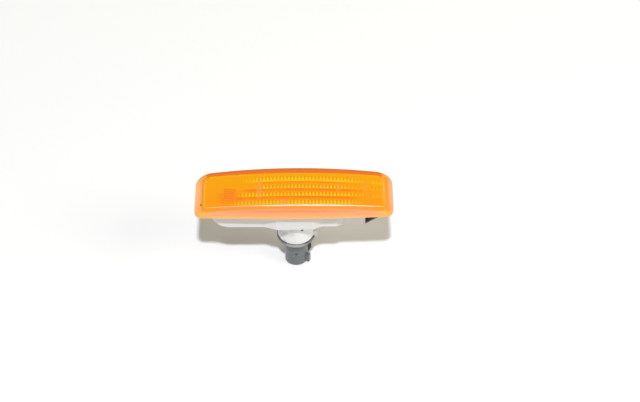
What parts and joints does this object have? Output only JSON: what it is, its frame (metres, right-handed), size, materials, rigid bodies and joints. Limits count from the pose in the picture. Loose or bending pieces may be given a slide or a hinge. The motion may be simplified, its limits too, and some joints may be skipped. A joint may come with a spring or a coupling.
{
  "type": "side repeater lamp",
  "caption": "Amber side repeater lamp for a car wing: bevelled clear lens with prism rows, white housing with spring clip, and a twist-in bulb holder behind.",
  "frame": {"origin": "on the plane where the lens rim meets the wing panel, at mid length of the lens, level with the bulb's axis", "axes": "+X along the lens towards the retaining clip, +Y across the lens towards its more arched edge, +Z out of the lens"},
  "size_m": [0.106, 0.0366, 0.0534],
  "materials": {
    "amber_lens": "clear amber moulding, polished",
    "white_moulding": "satin moulding",
    "spring_steel": "dark phosphated spring steel",
    "dark_moulding": "satin moulding",
    "seal_rubber": "matt rubber",
    "contact_brass": "tinned strip",
    "clear_glass": "clear",
    "lead_wire": "bare wire"
  },
  "bodies": {
    "lamp": {"lens": "amber_lens", "housing": "white_moulding", "retaining_clip": "spring_steel"},
    "bulb_unit": {"bulb_holder": "dark_moulding", "holder_seal": "seal_rubber", "contact_positive": "contact_brass", "contact_earth": "contact_brass", "bulb_glass": "clear_glass", "bulb_lead_positive": "lead_wire", "bulb_lead_earth": "lead_wire", "bulb_filament": "lead_wire"}
  },
  "joints": [
    {"name": "holder_twist", "type": "hinge", "parent": "lamp", "child": "bulb_unit", "pos_m": [0.0006, 0, -0.028], "axis": [0, 0, 1], "range_deg": [-45, 0]}
  ]
}
